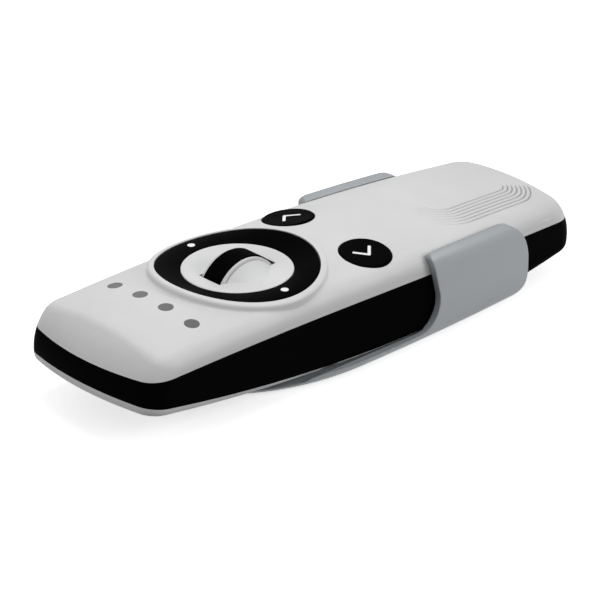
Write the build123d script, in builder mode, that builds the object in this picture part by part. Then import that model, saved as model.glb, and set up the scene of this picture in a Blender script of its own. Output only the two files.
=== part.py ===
from build123d import *
import math
import os

# A smart remote control lying in its wall holder.
# Millimetres. +Y runs from the lamp nose to the grip end, +Z up, the holder's flat back on Z = 0.
# The origin is the middle of the footprint.

# Casing, seen from above
BODY_LENGTH = 155.3
HALF_WIDTH = 23.4
NOSE_RADIUS = 76.0
TAIL_RADIUS = 76.0
NOSE_CORNER = 6.0
TAIL_CORNER = 6.0
TAPER_START = 71.7  # from the nose, where the sides begin to draw in
TAPER_RADIUS = 700.0
WALL = 1.8
SWELL_RADIUS = 14.0  # the two ends are round from top to bottom
SWELL_SPAN = 0.8  # share of that radius that the round reaches up and down
NOSE_SWELL = 14.05  # from the top of the crown down to the foremost point of the nose
TAIL_SWELL = 17.55  # the same at the tail

# Casing, seen from the side
REST_GAP = 0.3  # between the handset and its holder, all round
BASE_THICK = 2.0
BELLY_LOW = 93.7  # from the nose, where the underside is lowest
BELLY_RADIUS = 545.0
CASE_DEPTH = 24.75  # from the lowest underside to the top of the crown
CROWN_HIGH = 53.7  # from the nose, where the crown is highest
CROWN_LONG = 943.0
CROWN_CROSS = 92.6
END_SLOPE = 12.0  # length of the stronger slope at each end
END_SLOPE_SWEEP = 65.0
END_SLOPE_CORE = 2.0  # left out round the slope's own axis
END_SLOPE_RADIUS = 36.0
SHOULDER = 4.4
BILGE = 2.3
BAND_TOP_HIGH = 36.7  # from the nose
BAND_TOP_DROP = 7.95  # band's upper edge below the crown
BAND_TOP_RADIUS = 1470.0
BAND_FOOT = (2.6, 1.0, 0.35)  # band's lower edge above the underside, at the nose, middle and tail

# Control area
RING_FROM_NOSE = 51.7
RING_OUTER = 20.35
RING_INNER = 14.35
RING_GAP = 0.35
COLLAR_RADIUS = 22.4
COLLAR_RISE = 1.35  # collar above the crown
COLLAR_ROUND = 0.7
COLLAR_FOOT = 0.5
GUIDE_THICK = 1.3  # sleeve below the collar
DISC_RADIUS = 14.1
DISC_DROP = 0.75  # rim of the disc below the crown
DISC_THICK = 1.7
DISH_RADIUS = 110.0
DISH_RIM = 0.9
SKIRT_THICK = 1.2
RING_DEPTH = 4.3  # ring's underside below the disc's rim
RING_TILT = 2.0  # degrees each way
RING_PIVOT_DROP = 2.3  # pivot below the disc's rim
RING_PIN = 0.8
RING_PIN_LENGTH = 1.0
RING_PIN_END_GAP = 0.2
RING_SUNK = 0.12  # ring's outer edge below the collar
PEG_RADIUS = 1.4
PEG_GAP = 0.5
PRESS = 0.6  # travel of every key
FIT = 0.06  # running clearance, radial
SEAT = 0.1

# Thumbwheel
WHEEL_RADIUS = 10.5
WHEEL_PROUD = 3.95  # above the disc's rim
TREAD_WIDTH = 6.0
TREAD_THICK = 1.5
TREAD_ROUND = 0.3
FLANGE_THICK = 0.7
FLANGE_RADIUS = 10.15
WHEEL_GAP = 0.7
SLOT_SIDE_GAP = 0.2
AXLE_RADIUS = 1.0
CHEEK_THICK = 1.4
CHEEK_HALF = 3.2
ENCODER_SIZE = (3.6, 6.0, 5.0)
FAIRING_SUNK = 0.75  # fairing's crest below the wheel's flange
FAIRING_CREST = 0.25
FAIRING_WIDTH = 5.4
FAIRING_HOLLOW = 0.45  # its slope's hollow

# Lamps
LAMP_FROM_RING = 27.6
LAMP_RADIUS = 1.87
LAMP_PITCH = 9.5
LAMP_COUNT = 4
LED_SIZE = (2.0, 1.6, 1.0)

# Round keys
KEY_FROM_RING = 30.2
KEY_SIDE = 14.2
KEY_RADIUS = 6.75
KEY_GAP = 0.2
KEY_PROUD = 0.2
KEY_ROUND = 0.5
KEY_TAB = (3.0, 16.8, 0.9)
KEY_TAB_GAP = 0.6
KEY_STEM = 1.2

# Circuit board and what it carries
BOARD_DROP = 10.3  # board's upper face below the disc's rim
BOARD_THICK = 1.2
BOARD_GAP = 0.8
BOARD_FROM_TAIL = 9.6
SWITCH_SIZE = (4.5, 4.5, 1.5)
SWITCH_PLUNGER = 0.9
SWITCH_PLUNGER_HIGH = 0.5
RADIO_SIZE = (12.0, 14.0, 2.0)
RADIO_FROM_CELL = 10.5
RADIO_ROUND = 0.5
ANTENNA_WIRE = 0.35
ANTENNA_HIGH = 2.6
ANTENNA_SPAN = 13.0
ANTENNA_FROM_NOSE = 10.3

# Frame that guides the disc
FRAME_THICK = 1.0
FRAME_DROP = 5.3  # its plate's top below the disc's rim
SLEEVE_GAP = 0.35
SLEEVE_THICK = 0.75
SLEEVE_HIGH = 2.5
FRAME_LAP = 0.6  # frame's edge outside the collar's opening
FRAME_LEG = 1.2

# Screws that join the casing
SCREW_SIDE_NOSE = 14.5
SCREW_SIDE_TAIL = 12.5
SCREW_FROM_NOSE = 14.8
SCREW_FROM_TAIL = 14.5
POST_CAP = 4.2  # plastic between a screw's head and the board
SCREW_HEAD = (2.2, 1.4)
SCREW_SHANK = (1.15, 9.0)
POST_RADIUS = 3.6
PILLAR_RADIUS = 2.8
SCREW_EASE = 0.25

# Coin cell and its door
CELL_RADIUS = 12.25
CELL_THICK = 3.0
CELL_FROM_TAIL = 39.5
CELL_GAP = 0.35
CUP_THICK = 1.2
CUP_HIGH = 1.6
DOOR_WIDTH = 30.0
DOOR_LENGTH = 34.0
DOOR_FROM_CELL = 2.5
DOOR_THICK = 1.1
DOOR_CORNER = 3.0
DOOR_GAP = 0.15
DOOR_REBATE = 1.2
DOOR_SCREW_INSET = 4.0  # from the door's rear edge
DOOR_SCREW_HEAD = (1.7, 0.8)
DOOR_SCREW_SHANK = (0.9, 4.0)
DOOR_BOSS = 2.1
DOOR_BOSS_CAP = 0.6
CONTACT_THICK = 0.3
CONTACT_WIDTH = 5.0

# Pairing key on the underside
PAIR_FROM_CELL = 26.5
PAIR_RADIUS = 2.1
PAIR_GAP = 0.15
PAIR_SUNK = 0.5
PAIR_TUBE = 1.0
PAIR_TUBE_DROP = 5.8  # tube's top below the board
PAIR_FLANGE = (2.9, 0.8)

# Holder
HOLDER_WALL = 1.9
HOLDER_EDGE = 4.6
TONGUE_LENGTH = 42.0
ARM_FRONT = 60.7  # front of an arm's top, from the tail
ARM_WAIST = 54.9  # its front edge lower down, from the tail
ARM_REAR = 23.4  # from the tail
ARM_TOP_FRONT = 1.66  # below the crown's middle line there
ARM_TOP_REAR = 0.65
ARM_TOP_INSET = 1.75  # an arm's top edge lies this far inside its side
ARM_TOP_LEAN = 45.0  # degrees, so the edge is square to the bent wall
LIP_HIGH = 3.0
ARM_NOSE_ROUND = 1.5
ARM_TAIL_ROUND = 13.0
ARM_FOOT_ROUND = 8.0
ARM_HEEL_ROUND = 8.0
WALL_SCREW_HOLE = 1.7
WALL_SCREW_HEAD = 3.0
WALL_SCREW_PITCH = 50.0
WALL_SCREW_FROM_TAPER = 11.95

# Worked out from the above
NOSE_Y = -BODY_LENGTH / 2
TAIL_Y = BODY_LENGTH / 2
TAPER_Y = NOSE_Y + TAPER_START
END_CLEAR = 4.0  # cutting blocks reach this far past the casing
RING_Y = NOSE_Y + RING_FROM_NOSE
BELLY_Y = NOSE_Y + BELLY_LOW
CROWN_Y = NOSE_Y + CROWN_HIGH
BELLY_Z = BASE_THICK + REST_GAP
CROWN_Z = BELLY_Z + CASE_DEPTH
DISC_Z = CROWN_Z - DISC_DROP
BOARD_TOP = DISC_Z - BOARD_DROP
WHEEL_Z = DISC_Z + WHEEL_PROUD - WHEEL_RADIUS
WHEEL_HALF = TREAD_WIDTH / 2 + FLANGE_THICK
FRAME_Z = DISC_Z - FRAME_DROP
BOARD_Z = BOARD_TOP - BOARD_THICK
SCREW_SEAT = BOARD_Z - POST_CAP
PAIR_TUBE_TOP = BOARD_Z - PAIR_TUBE_DROP
SWITCH_TOP = BOARD_TOP + SWITCH_SIZE[2] + SWITCH_PLUNGER_HIGH
PEG_OFFSET = (RING_INNER + RING_OUTER) / 2
CELL_Y = TAIL_Y - CELL_FROM_TAIL
PAIR_Y = CELL_Y - PAIR_FROM_CELL
DOOR_Y = CELL_Y + DOOR_FROM_CELL
DOOR_SCREW_Y = DOOR_Y + DOOR_LENGTH / 2 - DOOR_SCREW_INSET
RADIO_Y = CELL_Y - RADIO_FROM_CELL
REACH = BODY_LENGTH
WALL_LEAN = 0.5  # a face whose normal rises less than this is a side wall
HIGH = 2 * CROWN_Z
HALF_TURN = 180.0
PICK_NEAR = 0.01  # an edge this near a circle is part of it
PICK_CLEAR = 0.2  # the collar's foot lies at least this far below its rounding


def sag(radius, run):
    """Drop of a circle below its tangent at this distance."""
    return radius - math.sqrt(radius**2 - run**2)


def belly(y, inset=0.0):
    return BELLY_Z + inset + sag(BELLY_RADIUS - inset, y - BELLY_Y)


def band_top(y):
    return CROWN_Z - BAND_TOP_DROP - sag(BAND_TOP_RADIUS, y - NOSE_Y - BAND_TOP_HIGH)


def band_bottom(y):
    nose, middle, tail = BAND_FOOT
    share = y / TAIL_Y
    return belly(y) + middle + share * (tail - nose) / 2 + share**2 * ((tail + nose) / 2 - middle)


def ceiling(y):
    return HIGH


def ground(y):
    return 0.0


def side_x(y, inset=0.0):
    """Half the width of the casing at y."""
    if y <= TAPER_Y:
        return HALF_WIDTH - inset
    return HALF_WIDTH - inset - sag(TAPER_RADIUS - inset, y - TAPER_Y)


def crown_z(x, y):
    """Height of the crown between its two end slopes."""
    reach = CROWN_LONG - sag(CROWN_CROSS, x)
    return CROWN_Z - CROWN_LONG + math.sqrt(reach**2 - (y - CROWN_Y) ** 2)


def end_part(way, inset):
    """What lies behind the nose (way -1) or before the tail (way 1), whose face is round both ways."""
    top = CROWN_Z + END_CLEAR
    flat = (NOSE_RADIUS if way < 0 else TAIL_RADIUS) - inset
    swell = SWELL_RADIUS - inset
    middle_z = CROWN_Z - (NOSE_SWELL if way < 0 else TAIL_SWELL)
    tip = way * (TAIL_Y - inset)
    centre_y = tip - way * flat
    rise = SWELL_SPAN * swell
    edge = tip - way * sag(swell, rise)
    slope = way * rise / (swell - sag(swell, rise))
    low_y = edge - slope * (middle_z - rise + END_CLEAR)
    high_y = edge - slope * (top - middle_z - rise)
    with BuildPart() as block:
        with BuildSketch(Plane.YZ):
            with BuildLine():
                ThreePointArc((edge, middle_z - rise), (tip, middle_z), (edge, middle_z + rise))
                Polyline(
                    (edge, middle_z + rise),
                    (high_y, top),
                    (centre_y, top),
                    (centre_y, -END_CLEAR),
                    (low_y, -END_CLEAR),
                    (edge, middle_z - rise),
                )
            make_face()
        revolve(axis=Axis((0, centre_y, 0), (0, 0, 1)))
        with BuildSketch(Plane.XY.offset(-END_CLEAR)):
            with Locations((0, centre_y - way * REACH / 2)):
                Rectangle(REACH, REACH)
        extrude(amount=top + END_CLEAR)
    return block.part


def plan_part(inset):
    """The casing seen from above, as a block with straight sides and round ends."""
    wide = HALF_WIDTH - inset
    front_y = NOSE_Y - END_CLEAR
    back_y = TAIL_Y + END_CLEAR
    bend_y = (TAPER_Y + back_y) / 2
    with BuildPart() as block:
        with BuildSketch(Plane.XY):
            with BuildLine():
                for side in (-1, 1):
                    Line((side * wide, front_y), (side * wide, TAPER_Y))
                    ThreePointArc(
                        (side * wide, TAPER_Y),
                        (side * side_x(bend_y, inset), bend_y),
                        (side * side_x(back_y, inset), back_y),
                    )
                Line((-wide, front_y), (wide, front_y))
                Line((-side_x(back_y, inset), back_y), (side_x(back_y, inset), back_y))
            make_face()
        extrude(amount=CROWN_Z + END_CLEAR)
        add(end_part(-1, inset), mode=Mode.INTERSECT)
        add(end_part(1, inset), mode=Mode.INTERSECT)
        for way, corner in ((-1, NOSE_CORNER), (1, TAIL_CORNER)):
            edges = block.edges().filter_by(lambda edge: way * (edge @ 0.5).Y > TAIL_Y / 2)
            steep = edges.filter_by(lambda edge: abs((edge @ 0).Z - (edge @ 1).Z) > edge.length / 2)
            sharp = steep.filter_by(lambda edge: abs((edge @ 0.5).X) > wide / 2)
            fillet(sharp, corner - inset)
    return block.part


def crown_sector(middle_y, middle_z, radius, start, sweep, depth, inset):
    """A stretch of the crown: its crosswise arc turned about an axis along X."""
    lean = math.radians(start)
    apex = radius - inset
    edge = apex - sag(CROWN_CROSS - inset, REACH / 4)
    middle = (0, middle_y, middle_z)
    face_plane = Plane(origin=middle, x_dir=(1, 0, 0), z_dir=(0, -math.cos(lean), -math.sin(lean)))
    with BuildPart() as sector:
        with BuildSketch(face_plane):
            with BuildLine():
                ThreePointArc((-REACH / 4, edge), (0, apex), (REACH / 4, edge))
                Polyline(
                    (REACH / 4, edge),
                    (REACH / 4, radius - depth),
                    (-REACH / 4, radius - depth),
                    (-REACH / 4, edge),
                )
            make_face()
        revolve(axis=Axis(middle, (1, 0, 0)), revolution_arc=sweep)
    return sector.part


def crown_part(inset):
    """Everything below the crowned top, which falls away faster at the two ends."""
    top = (CROWN_Y, CROWN_Z - CROWN_LONG)
    nose_lean = math.degrees(math.asin((CROWN_Y - NOSE_Y - END_SLOPE) / CROWN_LONG))
    tail_lean = math.degrees(math.asin((TAIL_Y - END_SLOPE - CROWN_Y) / CROWN_LONG))
    inner = CROWN_LONG - END_SLOPE_RADIUS
    end_depth = END_SLOPE_RADIUS - END_SLOPE_CORE
    end_sweep = END_SLOPE_SWEEP
    nose = math.radians(nose_lean)
    tail = math.radians(tail_lean)
    nose_middle = (top[0] - inner * math.sin(nose), top[1] + inner * math.cos(nose))
    tail_middle = (top[0] + inner * math.sin(tail), top[1] + inner * math.cos(tail))
    main = crown_sector(*top, CROWN_LONG, -tail_lean, nose_lean + tail_lean, HIGH, inset)
    front = crown_sector(*nose_middle, END_SLOPE_RADIUS, nose_lean, end_sweep, end_depth, inset)
    back = crown_sector(*tail_middle, END_SLOPE_RADIUS, -tail_lean - end_sweep, end_sweep, end_depth, inset)
    with BuildPart() as crown:
        add(main)
        add(front)
        add(back)
    return crown.part


def side_part(lower, upper):
    """The space between two curves seen from the side, right across."""
    ends = (NOSE_Y - END_CLEAR, TAIL_Y + END_CLEAR)
    with BuildPart() as slab:
        with BuildSketch(Plane.YZ):
            with BuildLine():
                for curve in (lower, upper):
                    points = [(y, curve(y)) for y in (ends[0], 0, ends[1])]
                    if points[0][1] == points[1][1]:
                        Line(points[0], points[2])
                    else:
                        ThreePointArc(*points)
                Line((ends[0], lower(ends[0])), (ends[0], upper(ends[0])))
                Line((ends[1], lower(ends[1])), (ends[1], upper(ends[1])))
            make_face()
        extrude(amount=REACH / 2, both=True)
    return slab.part


def rim_edges(part, above):
    """Edges between the upright walls and the top, or the underside."""
    walls = part.faces().filter_by(lambda face: abs(face.normal_at().Z) < WALL_LEAN)
    edges = []
    for wall in walls:
        for edge in wall.edges():
            low, high = edge @ 0, edge @ 1
            level = abs(low.Z - high.Z) < edge.length / 2
            if level and (edge @ 0.5).Z > CROWN_Z / 2 and above:
                edges.append(edge)
            if level and (edge @ 0.5).Z < CROWN_Z / 2 and not above:
                edges.append(edge)
    return edges


def casing_part(inset):
    """The whole handset without its controls, or a shape inside or outside it."""
    plan = plan_part(inset)
    crown = crown_part(inset)
    hull = side_part(lambda y: belly(y, inset), ceiling)
    with BuildPart() as casing:
        add(plan)
        add(crown, mode=Mode.INTERSECT)
        add(hull, mode=Mode.INTERSECT)
        fillet(rim_edges(casing.part, True), SHOULDER - inset)
        fillet(rim_edges(casing.part, False), BILGE - inset)
    return casing.part


def finish(builder, name):
    builder.part.label = name
    export_step(builder.part, f"parts/{name}.step")
    box = builder.part.bounding_box()
    print(name, len(builder.part.solids()), round(builder.part.volume, 1), box.min, box.max)


os.makedirs("parts", exist_ok=True)

# Shared shapes
outer = casing_part(0.0)
cavity = casing_part(WALL)
nest = casing_part(-REST_GAP)
above_band = side_part(band_top, ceiling)
in_band = side_part(band_bottom, band_top)
below_band = side_part(ground, band_bottom)

# Collar: a crosswise arc over a disc, level along the handset
collar_top = CROWN_Z + COLLAR_RISE
with BuildPart() as collar_roof:
    with BuildSketch(Plane.XZ.offset(-RING_Y)):
        with BuildLine():
            roof_half = COLLAR_RADIUS + COLLAR_ROUND
            roof_edge = collar_top - sag(CROWN_CROSS, roof_half)
            ThreePointArc((-roof_half, roof_edge), (0, collar_top), (roof_half, roof_edge))
            Polyline(
                (roof_half, roof_edge),
                (roof_half, FRAME_Z),
                (-roof_half, FRAME_Z),
                (-roof_half, roof_edge),
            )
        make_face()
    extrude(amount=roof_half, both=True)
with BuildPart() as collar:
    with BuildSketch(Plane.XY.offset(FRAME_Z)):
        with Locations((0, RING_Y)):
            Circle(COLLAR_RADIUS)
    extrude(amount=HIGH - FRAME_Z)
    add(collar_roof.part, mode=Mode.INTERSECT)
    fillet(collar.faces().sort_by(Axis.Z)[-1].edges(), COLLAR_ROUND)

# Top shell
opening = RING_OUTER + RING_GAP
pivot_z = DISC_Z - RING_PIVOT_DROP
lamp_y = RING_Y - LAMP_FROM_RING
lamp_places = [((i - (LAMP_COUNT - 1) / 2) * LAMP_PITCH, lamp_y) for i in range(LAMP_COUNT)]
screw_places = []
for side in (-1, 1):
    screw_places.append((side * SCREW_SIDE_NOSE, NOSE_Y + SCREW_FROM_NOSE))
    screw_places.append((side * SCREW_SIDE_TAIL, TAIL_Y - SCREW_FROM_TAIL))
core = casing_part(WALL / 2)

key_y = RING_Y + KEY_FROM_RING
key_z = crown_z(KEY_SIDE, key_y)
key_lean = math.asin(KEY_SIDE / CROWN_CROSS)
key_depth = WALL + KEY_TAB_GAP + KEY_TAB[2]
stem_end = SWITCH_TOP + PRESS + SEAT + KEY_STEM * math.sin(key_lean)
stem_length = (key_z - stem_end) / math.cos(key_lean)
key_switch_x = KEY_SIDE - stem_length * math.sin(key_lean)


def key_plane(side, depth):
    """Square to the crown below a round key, this far under its surface."""
    x_dir = (math.cos(key_lean), 0, -side * math.sin(key_lean))
    normal = (side * math.sin(key_lean), 0, math.cos(key_lean))
    origin = (side * (KEY_SIDE - depth * math.sin(key_lean)), key_y, key_z - depth * math.cos(key_lean))
    return Plane(origin=origin, x_dir=x_dir, z_dir=normal)


with BuildPart() as crowned:
    add(outer)
    add(collar.part)
    foot = crowned.edges().filter_by(
        lambda edge: all(
            abs(math.hypot((edge @ t).X, (edge @ t).Y - RING_Y) - COLLAR_RADIUS) < PICK_NEAR
            and (edge @ t).Z < collar_top - sag(CROWN_CROSS, (edge @ t).X) - COLLAR_ROUND - PICK_CLEAR
            for t in (0.1, 0.5, 0.9)
        )
    )
    fillet(foot, COLLAR_FOOT)

with BuildPart() as guide:
    with BuildSketch(Plane.XY.offset(FRAME_Z)):
        with Locations((0, RING_Y)):
            Circle(opening + GUIDE_THICK)
    extrude(amount=HIGH - FRAME_Z)
    add(crowned.part, mode=Mode.INTERSECT)

with BuildPart() as pillars:
    with BuildSketch(Plane.XY.offset(BOARD_TOP)):
        with Locations(*screw_places):
            Circle(PILLAR_RADIUS)
    extrude(amount=HIGH)
    add(core, mode=Mode.INTERSECT)

with BuildPart() as top_shell:
    add(crowned.part)
    add(cavity, mode=Mode.SUBTRACT)
    add(above_band, mode=Mode.INTERSECT)
    add(guide.part)
    add(pillars.part)
    with BuildSketch(Plane.XY.offset(FRAME_Z)):
        with Locations((0, RING_Y)):
            Circle(opening)
        with Locations(*lamp_places):
            Circle(LAMP_RADIUS + FIT)
    extrude(amount=HIGH, mode=Mode.SUBTRACT)
    with BuildSketch(Plane.YZ.offset(-opening - RING_PIN_LENGTH)):
        with Locations((RING_Y, pivot_z)):
            Circle(RING_PIN + FIT)
    extrude(amount=2 * (opening + RING_PIN_LENGTH), mode=Mode.SUBTRACT)
    with BuildSketch(Plane.XY.offset(BOARD_TOP)):
        with Locations(*screw_places):
            Circle(SCREW_SHANK[0])
    extrude(amount=SCREW_SEAT + SCREW_SHANK[1] + SEAT - BOARD_TOP, mode=Mode.SUBTRACT)
    for side in (-1, 1):
        with BuildSketch(key_plane(side, key_depth)):
            Circle(KEY_RADIUS + KEY_GAP)
        extrude(amount=2 * key_depth, mode=Mode.SUBTRACT)
finish(top_shell, "top_shell")

# Black band between the shells
inside_band = plan_part(WALL)
with BuildPart() as side_band:
    add(outer)
    add(in_band, mode=Mode.INTERSECT)
    add(inside_band, mode=Mode.SUBTRACT)
finish(side_band, "side_band")

# Bottom shell with its posts, the cup of the cell and the tube of the pairing key
cell_bore = CELL_RADIUS + CELL_GAP
door_screw_z = belly(DOOR_SCREW_Y)
door_boss_top = door_screw_z + DOOR_SCREW_HEAD[1] + DOOR_SCREW_SHANK[1] + DOOR_BOSS_CAP
pair_bore = PAIR_RADIUS + PAIR_GAP
with BuildPart() as fixings:
    with BuildSketch(Plane.XY):
        with Locations(*screw_places):
            Circle(POST_RADIUS)
    extrude(amount=BOARD_Z)
    with BuildSketch(Plane.XY):
        with Locations((0, CELL_Y)):
            Circle(cell_bore + CUP_THICK)
    extrude(amount=belly(CELL_Y, WALL) + CUP_HIGH)
    with BuildSketch(Plane.XY):
        with Locations((0, DOOR_SCREW_Y)):
            Circle(DOOR_BOSS)
    extrude(amount=door_boss_top)
    with BuildSketch(Plane.XY):
        with Locations((0, PAIR_Y)):
            Circle(pair_bore + PAIR_TUBE)
    extrude(amount=PAIR_TUBE_TOP)
    add(core, mode=Mode.INTERSECT)


def door_part(gap, thick):
    """The door's plate, bent as the underside is."""
    with BuildPart() as plate:
        with BuildSketch(Plane.XY):
            with Locations((0, DOOR_Y)):
                RectangleRounded(DOOR_WIDTH - 2 * gap, DOOR_LENGTH - 2 * gap, DOOR_CORNER - gap)
        extrude(amount=CROWN_Z / 2)
        add(side_part(belly, lambda y: belly(y, thick)), mode=Mode.INTERSECT)
    return plate.part


rebate = door_part(0.0, DOOR_REBATE)
with BuildPart() as floor_plate:
    add(inside_band)
    add(in_band, mode=Mode.INTERSECT)
    add(side_part(ground, lambda y: belly(y, WALL)), mode=Mode.INTERSECT)
with BuildPart() as bottom_shell:
    add(outer)
    add(below_band, mode=Mode.INTERSECT)
    add(floor_plate.part)
    add(cavity, mode=Mode.SUBTRACT)
    add(fixings.part)
    add(rebate, mode=Mode.SUBTRACT)
    with BuildSketch(Plane.XY):
        with Locations((0, CELL_Y)):
            Circle(cell_bore)
        with Locations((0, PAIR_Y)):
            Circle(pair_bore)
        with Locations((0, DOOR_SCREW_Y)):
            Circle(DOOR_SCREW_SHANK[0])
        with Locations(*screw_places):
            Circle(SCREW_SHANK[0] + SCREW_EASE)
    extrude(amount=HIGH, mode=Mode.SUBTRACT)
    with BuildSketch(Plane.XY):
        with Locations(*screw_places):
            Circle(SCREW_HEAD[0] + SCREW_EASE)
    extrude(amount=SCREW_SEAT, mode=Mode.SUBTRACT)
finish(bottom_shell, "bottom_shell")

# Screws that join the casing, from below
with BuildPart() as case_screws:
    with BuildSketch(Plane.XY.offset(SCREW_SEAT - SCREW_HEAD[1])):
        with Locations(*screw_places):
            Circle(SCREW_HEAD[0])
    extrude(amount=SCREW_HEAD[1])
    with BuildSketch(Plane.XY.offset(SCREW_SEAT)):
        with Locations(*screw_places):
            Circle(SCREW_SHANK[0])
    extrude(amount=SCREW_SHANK[1])
finish(case_screws, "case_screws")

# Battery door, its screw and the coin cell
door_head = DOOR_SCREW_HEAD[0]
door_shank = DOOR_SCREW_SHANK[0]
with BuildPart() as battery_door:
    add(door_part(DOOR_GAP, DOOR_THICK))
    with BuildSketch(Plane.XY.offset(door_screw_z)):
        with Locations((0, DOOR_SCREW_Y)):
            Circle(door_head + FIT)
    with BuildSketch(Plane.XY.offset(door_screw_z + DOOR_SCREW_HEAD[1])):
        with Locations((0, DOOR_SCREW_Y)):
            Circle(door_shank + FIT)
    loft(mode=Mode.SUBTRACT)
    with BuildSketch(Plane.XY):
        with Locations((0, DOOR_SCREW_Y)):
            Circle(door_shank + FIT)
    extrude(amount=CROWN_Z, mode=Mode.SUBTRACT)
finish(battery_door, "battery_door")

with BuildPart() as battery_door_screw:
    with BuildSketch(Plane.XY.offset(door_screw_z)):
        with Locations((0, DOOR_SCREW_Y)):
            Circle(door_head)
    with BuildSketch(Plane.XY.offset(door_screw_z + DOOR_SCREW_HEAD[1])):
        with Locations((0, DOOR_SCREW_Y)):
            Circle(door_shank)
    loft()
    with BuildSketch(Plane.XY.offset(door_screw_z + DOOR_SCREW_HEAD[1])):
        with Locations((0, DOOR_SCREW_Y)):
            Circle(door_shank)
    extrude(amount=DOOR_SCREW_SHANK[1])
finish(battery_door_screw, "battery_door_screw")

cell_z = belly(CELL_Y + CELL_RADIUS, DOOR_THICK) + SEAT
with BuildPart() as coin_cell:
    with BuildSketch(Plane.XY.offset(cell_z)):
        with Locations((0, CELL_Y)):
            Circle(CELL_RADIUS)
    extrude(amount=CELL_THICK)
    fillet(coin_cell.edges().group_by(Axis.Z)[0], SEAT)
finish(coin_cell, "coin_cell")

# Contacts hang from the board: a leaf on the cell's top, a strip against its side
cell_top = cell_z + CELL_THICK
leaf_y = CELL_Y + CELL_RADIUS / 2
with BuildPart() as battery_contact_minus:
    with BuildSketch(Plane.YZ):
        with BuildLine():
            Polyline(
                (leaf_y, BOARD_Z),
                (leaf_y, cell_top + FIT),
                (CELL_Y - CELL_RADIUS / 2, cell_top + FIT),
                (CELL_Y - CELL_RADIUS / 2, cell_top + FIT + CONTACT_THICK),
                (leaf_y - CONTACT_THICK, cell_top + FIT + CONTACT_THICK),
                (leaf_y - CONTACT_THICK, BOARD_Z),
                close=True,
            )
        make_face()
    extrude(amount=CONTACT_WIDTH / 2, both=True)
finish(battery_contact_minus, "battery_contact_minus")

strip_x = CELL_RADIUS + FIT
strip_low = belly(CELL_Y, WALL) + CUP_HIGH + SEAT
with BuildPart() as battery_contact_plus:
    with BuildSketch(Plane.XY.offset(strip_low)):
        with Locations((strip_x + CONTACT_THICK / 2, CELL_Y)):
            Rectangle(CONTACT_THICK, CONTACT_WIDTH)
    extrude(amount=BOARD_Z - strip_low)
finish(battery_contact_plus, "battery_contact_plus")

# Circuit board
wheel_chord = math.sqrt((WHEEL_RADIUS + WHEEL_GAP) ** 2 - (WHEEL_Z - BOARD_TOP) ** 2)
with BuildPart() as circuit_board:
    add(plan_part(WALL + BOARD_GAP))
    with BuildSketch(Plane.XY.offset(BOARD_Z)):
        Rectangle(REACH, REACH)
    extrude(amount=BOARD_THICK, mode=Mode.INTERSECT)
    with BuildSketch(Plane.XY.offset(BOARD_Z)):
        with Locations((0, RING_Y)):
            Rectangle(2 * (WHEEL_HALF + WHEEL_GAP), 2 * wheel_chord)
        with Locations(*screw_places):
            Circle(SCREW_SHANK[0] + SCREW_EASE)
        with Locations((0, TAIL_Y - BOARD_FROM_TAIL + REACH / 2)):
            Rectangle(REACH, REACH)
    extrude(amount=BOARD_THICK, mode=Mode.SUBTRACT)
finish(circuit_board, "circuit_board")


def switches(places, top, name):
    """Tact switches on the board's upper face, or below it."""
    way = 1 if top else -1
    face_z = BOARD_TOP if top else BOARD_Z
    with BuildPart() as group:
        with BuildSketch(Plane.XY.offset(face_z)):
            with Locations(*places):
                Rectangle(SWITCH_SIZE[0], SWITCH_SIZE[1])
        extrude(amount=way * SWITCH_SIZE[2])
        with BuildSketch(Plane.XY.offset(face_z + way * SWITCH_SIZE[2])):
            with Locations(*places):
                Circle(SWITCH_PLUNGER)
        extrude(amount=way * SWITCH_PLUNGER_HIGH)
    finish(group, name)


wheel_slot = WHEEL_HALF + SLOT_SIDE_GAP
cheek_x = wheel_slot + CHEEK_THICK
sleeve_outer = DISC_RADIUS - SKIRT_THICK - SLEEVE_GAP
sleeve_inner = sleeve_outer - SLEEVE_THICK
stem_x = -(cheek_x + sleeve_inner) / 2
switches([(0, RING_Y - PEG_OFFSET), (0, RING_Y + PEG_OFFSET)], True, "ring_switches")
switches([(stem_x, RING_Y)], True, "centre_switch")
switches([(-key_switch_x, key_y), (key_switch_x, key_y)], True, "channel_switches")
switches([(0, PAIR_Y)], False, "pairing_switch")

with BuildPart() as radio_module:
    with BuildSketch(Plane.XY.offset(BOARD_TOP)):
        with Locations((0, RADIO_Y)):
            Rectangle(RADIO_SIZE[0], RADIO_SIZE[1])
    extrude(amount=RADIO_SIZE[2])
    fillet(radio_module.edges().filter_by(Axis.Z), RADIO_ROUND)
finish(radio_module, "radio_module")

antenna_y = NOSE_Y + ANTENNA_FROM_NOSE
antenna_z = BOARD_TOP + ANTENNA_HIGH
with BuildPart() as antenna:
    with BuildLine() as wire:
        FilletPolyline(
            (-ANTENNA_SPAN / 2, antenna_y, BOARD_TOP),
            (-ANTENNA_SPAN / 2, antenna_y, antenna_z),
            (ANTENNA_SPAN / 2, antenna_y, antenna_z),
            (ANTENNA_SPAN / 2, antenna_y + ANTENNA_SPAN / 3, antenna_z),
            (0, antenna_y + ANTENNA_SPAN / 3, antenna_z),
            (0, antenna_y + ANTENNA_SPAN / 3, BOARD_TOP),
            radius=2 * ANTENNA_WIRE,
        )
    with BuildSketch(Plane.XY.offset(BOARD_TOP)):
        with Locations((-ANTENNA_SPAN / 2, antenna_y)):
            Circle(ANTENNA_WIRE)
    sweep(path=wire.line)
finish(antenna, "antenna")

# Lamps and the windows above them
lamp_top = BOARD_TOP + LED_SIZE[2]
with BuildPart() as indicator_leds:
    with BuildSketch(Plane.XY.offset(BOARD_TOP)):
        with Locations(*lamp_places):
            Rectangle(LED_SIZE[0], LED_SIZE[1])
    extrude(amount=LED_SIZE[2])
finish(indicator_leds, "indicator_leds")

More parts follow.
